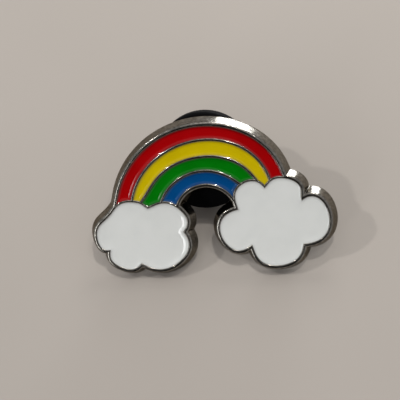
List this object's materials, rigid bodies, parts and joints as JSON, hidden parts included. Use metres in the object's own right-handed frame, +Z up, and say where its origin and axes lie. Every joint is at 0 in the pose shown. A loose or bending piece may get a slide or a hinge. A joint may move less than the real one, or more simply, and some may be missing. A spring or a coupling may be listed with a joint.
{
  "type": "enamel pin",
  "caption": "Soft-enamel lapel pin, a rainbow between two clouds in black nickel, with a nail post and a rubber clutch that slides off the post.",
  "frame": {"origin": "centre of the bounding box on the surface that the pin leans on, under the bottoms of the two clouds and the boss of the clutch", "axes": "+X to the viewer's right along the pin's width, +Z up from the surface; the face looks toward -Y and upward, and its plane stands at 39.3 degrees to the surface"},
  "size_m": [0.0294, 0.0182, 0.0127],
  "materials": {
    "black_nickel": "polished black nickel plating over die-struck metal, sandblasted on the back",
    "enamel_red": "glossy soft enamel, opaque red",
    "enamel_yellow": "glossy soft enamel, opaque yellow",
    "enamel_green": "glossy soft enamel, opaque green",
    "enamel_blue": "glossy soft enamel, opaque blue",
    "enamel_white": "glossy soft enamel, opaque white",
    "post_steel": "drawn steel nail, nickel plated",
    "solder": "bright solder fillet, slightly uneven",
    "black_rubber": "moulded soft black PVC rubber, satin"
  },
  "bodies": {
    "clutch": {"rubber_clutch": "black_rubber"},
    "pin": {"pin_body": "black_nickel", "enamel_red": "enamel_red", "enamel_yellow": "enamel_yellow", "enamel_green": "enamel_green", "enamel_blue": "enamel_blue", "enamel_cloud_left": "enamel_white", "enamel_cloud_right": "enamel_white", "post_nail": "post_steel", "solder_joint": "solder"}
  },
  "joints": [
    {"name": "clutch_pull", "type": "slide", "parent": "clutch", "child": "pin", "axis": [0, -0.6334, 0.7738], "range_m": [-0.0017, 0.0084]}
  ]
}
